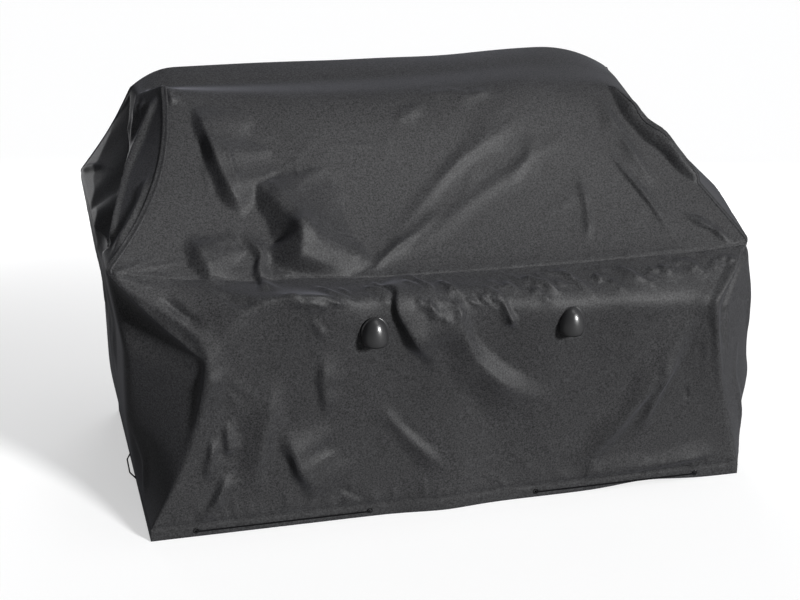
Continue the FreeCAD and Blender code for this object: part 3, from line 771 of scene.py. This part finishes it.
def moulded_material(name, colour, roughness, grain, **inputs):
    """Moulded plastic or enamel with a fine grain and slight variation in gloss."""
    mat, tree, shader = new_material(name, **inputs)
    noise = noise_in(tree, grain, 3.0)
    tree.links.new(tones(tree, noise, colour, 0.7, 1.4), shader.inputs["Base Color"])
    gloss = ranged(tree, noise, roughness - 0.06, roughness + 0.08)
    tree.links.new(gloss, shader.inputs["Roughness"])
    add_relief(tree, noise, 0.09, 0.0003, shader)
    return mat


CLOTH_COLOUR = (0.022, 0.022, 0.023)
cloth = cloth_material("cover_cloth", CLOTH_COLOUR, 900.0)

cover = piece("cover_fabric", points, quads, cloth)
add_wall(cover, CLOTH_T)
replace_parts(cover, "top_panel", "gusset_left", "gusset_right", "skirt_front", "skirt_left",
            "skirt_right", "skirt_back", "hem_front", "hem_left", "hem_right", "hem_back")

# ---- seams, stitches and tapes
surface = BVHTree.FromPolygons(points.tolist(), quads.tolist())
SEAM_W = 0.020
WAIST_SEAM_W = 0.008
TAPE_W = 0.022
BAND_STEP = 0.006
STITCH_PITCH = 0.0065


def even_line(ids, step):
    """Points every step along a row or column of the sheet's points."""
    corners = points[ids]
    lengths = np.linalg.norm(np.diff(corners, axis=0), axis=1)
    reach = np.concatenate([[0], np.cumsum(lengths)])
    count = max(2, int(round(reach[-1] / step)) + 1)
    at = np.linspace(0, reach[-1], count)
    return np.stack([np.interp(at, reach, corners[:, k]) for k in range(3)], -1)


def laid_on(place, lift):
    """The nearest point of the cloth's outside, lifted along its normal."""
    spot, normal, _, _ = surface.find_nearest(Vector(place))
    return spot + normal * lift, normal


def strip(name, lines, profile, material):
    """A narrow band laid along lines on the cloth; profile is [(across, lift), ...]."""
    vertices, faces = [], []
    width = len(profile)
    for line in lines:
        tangents = normalised(np.gradient(line, axis=0))
        start = len(vertices)
        for place, tangent in zip(line, tangents):
            _, normal = laid_on(place, 0)
            side = Vector(tangent).cross(normal).normalized()
            for across, lift in profile:
                spot, _ = laid_on(Vector(place) + side * across, lift)
                vertices.append(spot)
        for k in range(len(line) - 1):
            for m in range(width - 1):
                a = start + k * width + m
                faces.append((a, a + 1, a + 1 + width, a + width))
    return piece(name, vertices, faces, material)


def stitches(name, lines, shift, material):
    """A row of short, slightly raised thread dashes along lines on the cloth."""
    length, thick = 0.0042, 0.0007
    vertices, faces = [], []
    for line in lines:
        tangents = normalised(np.gradient(line, axis=0))
        for place, tangent in zip(line, tangents):
            _, normal = laid_on(place, 0)
            tangent = Vector(tangent)
            side = tangent.cross(normal).normalized()
            spot, normal = laid_on(Vector(place) + side * shift, 0.0002)
            start = len(vertices)
            for end in (-1, 1):
                for across, lift in ((-1, 0), (-0.6, 0.8), (0.6, 0.8), (1, 0)):
                    dip = 0 if lift == 0 else 1
                    vertices.append(spot + tangent * (end * length / 2 * (1 - 0.2 * dip))
                                    + side * across * thick + normal * lift * thick)
            for m in range(3):
                faces.append((start + m, start + m + 1, start + m + 5, start + m + 4))
            faces += [(start + 3, start + 2, start + 1, start),
                      (start + 4, start + 5, start + 6, start + 7)]
    piece(name, vertices, faces, material, smooth=False)


CORNERS = {"front_left": 0, "front_right": FRONT_COLUMNS, "rear_right": REAR_RIGHT,
           "rear_left": REAR_LEFT}
gusset_ids = {name: ring_ids[WAIST_ROW:, column] for name, column in CORNERS.items()}
waist_ids = np.concatenate([ring_ids[WAIST_ROW], ring_ids[WAIST_ROW][:1]])
hem_ids = np.concatenate([ring_ids[HEM_ROWS], ring_ids[HEM_ROWS][:1]])
tape_film = moulded_material("tape_film", (0.03, 0.03, 0.032), 0.4, 300.0)
thread = moulded_material("thread", (0.012, 0.012, 0.013), 0.7, 1500.0)

waist_path = even_line(waist_ids, BAND_STEP)
gusset_paths = {name: even_line(ids, BAND_STEP) for name, ids in gusset_ids.items()}
FELLED = [(-0.5, 0.0), (-0.42, 0.0022), (-0.30, 0.0030), (-0.16, 0.0010), (0, 0.0006),
          (0.16, 0.0010), (0.30, 0.0030), (0.42, 0.0022), (0.5, 0.0)]
strip("gusset_felled_seams", list(gusset_paths.values()),
      [(a * SEAM_W, lift) for a, lift in FELLED], cloth)
strip("waist_felled_seam", [waist_path],
      [(a * WAIST_SEAM_W, lift * 0.5) for a, lift in FELLED], cloth)
for shift, side in ((-0.0045, "outer"), (0.0045, "inner")):
    stitches("gusset_stitches_" + side,
             [even_line(ids, STITCH_PITCH) for ids in gusset_ids.values()], shift, thread)
stitches("waist_stitches", [even_line(waist_ids, STITCH_PITCH)], 0.0015, thread)
stitches("hem_stitches", [even_line(hem_ids, STITCH_PITCH)], 0.0, thread)

FLAT_TAPE = [(k / 6 - 0.5, -CLOTH_T - 0.0004) for k in range(7)]
tape_profile = [(a * TAPE_W, lift) for a, lift in FLAT_TAPE]
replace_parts(strip("waist_tape", [waist_path], tape_profile, tape_film),
            "waist_seam_tape")
for name, path in gusset_paths.items():
    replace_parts(strip("tape_" + name, [path[3:-8]], tape_profile, tape_film),
                "gusset_tape_" + name)


# ---- the hem's inner turn-up
def hem_turn_up():
    """The casing's inner side: from the lower edge inwards and back up to the stitches."""
    ring = points[ring_ids[0]]
    upper = points[ring_ids[HEM_ROWS]]
    ahead = normalised(np.roll(ring, -1, axis=0) - np.roll(ring, 1, axis=0))
    inward = np.stack([-ahead[:, 1], ahead[:, 0], np.zeros(len(ring))], -1)
    rows = []
    for depth, height in ((0.0019, 0.0005), (0.0045, 0.0), (0.0075, 0.0008), (0.0092, 0.004),
                          (0.0095, 0.016), (0.0088, 0.027), (0.0055, 0.034), (0.0021, 0.0365)):
        rows.append(lerp(ring, upper, np.full(len(ring), height / HEM_TOP)) + inward * depth)
    rows = np.array(rows)
    count = rows.shape[1]
    ids = np.arange(rows.shape[0] * count).reshape(rows.shape[0], count)
    beside = np.roll(ids, -1, axis=1)
    faces = np.stack([ids[:-1], ids[1:], beside[1:], beside[:-1]], -1).reshape(-1, 4)
    piece("hem_turn_up", rows.reshape(-1, 3), faces, cloth)


hem_turn_up()


# ---- hardware finishes
vent_plastic = moulded_material("vent_plastic", (0.022, 0.022, 0.023), 0.32, 500.0,
                                Specular_IOR_Level=0.9)
matte_plastic = moulded_material("lock_plastic", (0.014, 0.014, 0.015), 0.5, 700.0)
enamel = moulded_material("eyelet_enamel", (0.006, 0.006, 0.0065), 0.24, 900.0)
steel = moulded_material("spring_steel", (0.45, 0.45, 0.46), 0.3, 900.0, Metallic=1.0)
braid = moulded_material("cord_braid", (0.004, 0.004, 0.0045), 0.8, 1400.0,
                         Specular_IOR_Level=0.08)

finish_of = {"eyelet_grommets": enamel, "eyelet_washers": enamel, "drawcord": braid,
             "cord_lock_spring": steel, "cord_lock_body": matte_plastic,
             "cord_lock_plunger": vent_plastic, "cord_end": matte_plastic}
for name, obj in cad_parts.items():
    if name.startswith("vent_screen"):
        finish = matte_plastic
    elif name.startswith("vent"):
        finish = vent_plastic
    else:
        finish = finish_of.get(name)
    if finish is not None:
        obj.data.materials.clear()
        obj.data.materials.append(finish)


# ---- vent cowls
# each vent stands on the skirt, which leans back a little towards its foot
VENT_OUT = np.array([0, -0.9971, -0.0763])
VENT_UP = np.array([0, -0.0763, 0.9971])


def vent_cowl(side, seat):
    """A scoop that grows from its rounded top to an open mouth below, with its rim and neck."""
    half_width, height = 0.0385, 0.042
    top, widest, mouth = 0.047, -0.016, -0.030
    steps, around = 22, 36
    neck = 0.018
    theta = np.linspace(-math.pi / 2, math.pi / 2, around + 1)
    rows = [(mouth, 0.90), ((mouth + widest) / 2, 0.975)]
    rows += [(widest + (top - widest) * math.sin(a), math.cos(a))
             for a in np.linspace(0, 0.49 * math.pi, steps)]
    scoop = np.array([np.stack([half_width * share * np.sin(theta), np.full_like(theta, up),
                                height * share ** 0.85 * np.cos(theta) - 0.0005], -1)
                      for up, share in rows])
    # the neck's inner end, the rim's inner edge, its face and its outer edge
    turn = np.linspace(0, 2 * math.pi, 2 * around + 1)
    plate = np.array([np.stack([wide * np.sin(turn), tall * np.cos(turn) + shift,
                                np.full_like(turn, out)], -1)
                      for wide, tall, shift, out in ((neck, neck, 0, -0.009),
                                                     (neck, neck, 0, 0.0008),
                                                     (0.038, 0.042, 0.004, 0.0016),
                                                     (0.0395, 0.0435, 0.004, -0.0010))])
    vertices, faces = [], []
    for grid in (scoop, plate):
        ids = len(vertices) + np.arange(grid.shape[0] * grid.shape[1]).reshape(grid.shape[:2])
        x, up, out = (grid.reshape(-1, 3)[:, k, None] for k in range(3))
        vertices += (np.array(seat) + x * [1, 0, 0] + up * VENT_UP + out * VENT_OUT).tolist()
        faces += np.stack([ids[:-1, :-1], ids[:-1, 1:], ids[1:, 1:], ids[1:, :-1]],
                          -1).reshape(-1, 4).tolist()
    cowl = piece("vent_cowl_" + side, vertices, faces, vent_plastic)
    add_wall(cowl, 0.0016)
    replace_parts(cowl, "vent_hood_" + side)


for side, seat in VENTS.items():
    vent_cowl(side, seat)


# ---- the cord lock's spring
def coil_spring():
    """The coil under the button, built at one fixed length; nothing here shortens it as the button
    goes down.
    """
    turns, around, steps = 4.5, 8, 20
    coil_radius, wire_radius = 0.0034, 0.0004
    foot = Vector((0.010, 0.482, 0.00745))
    height = 0.0056
    vertices, faces = [], []
    count = int(turns * steps) + 1
    for k in range(count):
        turn = 2 * math.pi * k / steps
        out = Vector((math.cos(turn), math.sin(turn), 0))
        middle = foot + out * coil_radius + Vector((0, 0, height * k / (count - 1)))
        for m in range(around):
            a = 2 * math.pi * m / around
            vertices.append(middle + (out * math.cos(a) + Vector((0, 0, math.sin(a)))) * wire_radius)
    for k in range(count - 1):
        for m in range(around):
            a, b = k * around + m, k * around + (m + 1) % around
            faces.append((a, a + around, b + around, b))
    spring = piece("lock_spring_coil", vertices, faces, steel, "cord_lock")
    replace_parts(spring, "cord_lock_spring")
    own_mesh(spring)


coil_spring()

# ---- floor, light, camera
floor = mesh_object("floor", [(-30, -30, 0), (30, -30, 0), (30, 30, 0), (-30, 30, 0)],
                    [(0, 1, 2, 3)], smooth=False)
floor.location.z = -0.0005
paper, paper_tree, paper_shader = new_material("pale_floor", Roughness=0.9,
                                               Emission_Color=(1, 1, 1, 1))
# the camera sees it paler than it looks to the cover, and faintly lit
rays = node(paper_tree, "ShaderNodeLightPath")
tone = node(paper_tree, "ShaderNodeMix", {"A": (0.22, 0.22, 0.22, 1), "B": (0.55, 0.55, 0.55, 1)},
            data_type="RGBA")
paper_tree.links.new(rays.outputs["Is Camera Ray"], tone.inputs["Factor"])
paper_tree.links.new(tone.outputs["Result"], paper_shader.inputs["Base Color"])
glow = node(paper_tree, "ShaderNodeMath", {1: 0.50}, operation="MULTIPLY")
paper_tree.links.new(rays.outputs["Is Camera Ray"], glow.inputs[0])
paper_tree.links.new(glow.outputs[0], paper_shader.inputs["Emission Strength"])
floor.data.materials.append(paper)

world = bpy.data.worlds.new("studio")
scene.world = world
world.use_nodes = True
backdrop = world.node_tree.nodes["Background"]
backdrop.inputs["Color"].default_value = (0.93, 0.95, 1.0, 1)
# the studio is brighter behind the cover than in front; the camera sees a plain white wall
studio = world.node_tree
way = node(studio, "ShaderNodeTexCoord")
behind = node(studio, "ShaderNodeVectorMath", {1: (0.35, 0.92, 0.17)}, operation="DOT_PRODUCT")
studio.links.new(way.outputs["Generated"], behind.inputs[0])
gradient = node(studio, "ShaderNodeMapRange",
                {"From Min": 0.45, "From Max": 0.95, "To Min": 0.10, "To Max": 0.40},
                interpolation_type="SMOOTHSTEP")
studio.links.new(behind.outputs["Value"], gradient.inputs["Value"])
seen = node(studio, "ShaderNodeLightPath")
wall = node(studio, "ShaderNodeMix", {"B": 0.95}, data_type="FLOAT")
studio.links.new(seen.outputs["Is Camera Ray"], wall.inputs["Factor"])
studio.links.new(gradient.outputs["Result"], wall.inputs["A"])
studio.links.new(wall.outputs["Result"], backdrop.inputs["Strength"])


def sun_light(name, source, strength, spread):
    """A very large, far lamp that shines from a direction, with soft edges to its shadows."""
    data = bpy.data.lights.new(name, "SUN")
    data.energy = strength
    data.angle = math.radians(spread)
    lamp = bpy.data.objects.new(name, data)
    lamp.rotation_euler = Vector(source).to_track_quat("Z", "Y").to_euler()
    scene.collection.objects.link(lamp)


sun_light("key", (0.64, -0.95, 0.47), 5.0, 10)
sun_light("top", (0.15, -0.15, 1.0), 0.45, 40)


def low_panel(name, place, width, watts):
    """A soft panel lower than the cover, so that it lights the back and not the top."""
    data = bpy.data.lights.new(name, "AREA")
    data.shape = "RECTANGLE"
    data.size = width
    data.size_y = 0.7
    data.energy = watts
    panel = bpy.data.objects.new(name, data)
    panel.location = place
    panel.rotation_euler = Vector((place[0], place[1], 0)).to_track_quat("Z", "Y").to_euler()
    panel.visible_camera = False
    scene.collection.objects.link(panel)


low_panel("panel_left", (-1.7, 2.8, 0.45), 0.8, 11.0)
low_panel("panel_back", (0.8, 3.0, 0.45), 2.2, 75.0)

camera_data = bpy.data.cameras.new("camera")
camera_data.lens = 75.4
camera_data.sensor_width = 36.0
camera = bpy.data.objects.new("camera", camera_data)
camera.location = (-1.180, -4.630, 2.364)
camera.rotation_euler = Vector((0.21929, 0.90450, -0.36578)).to_track_quat("-Z", "Y").to_euler()
scene.collection.objects.link(camera)
scene.camera = camera
scene.view_settings.view_transform = "Standard"
scene.view_settings.look = "None"
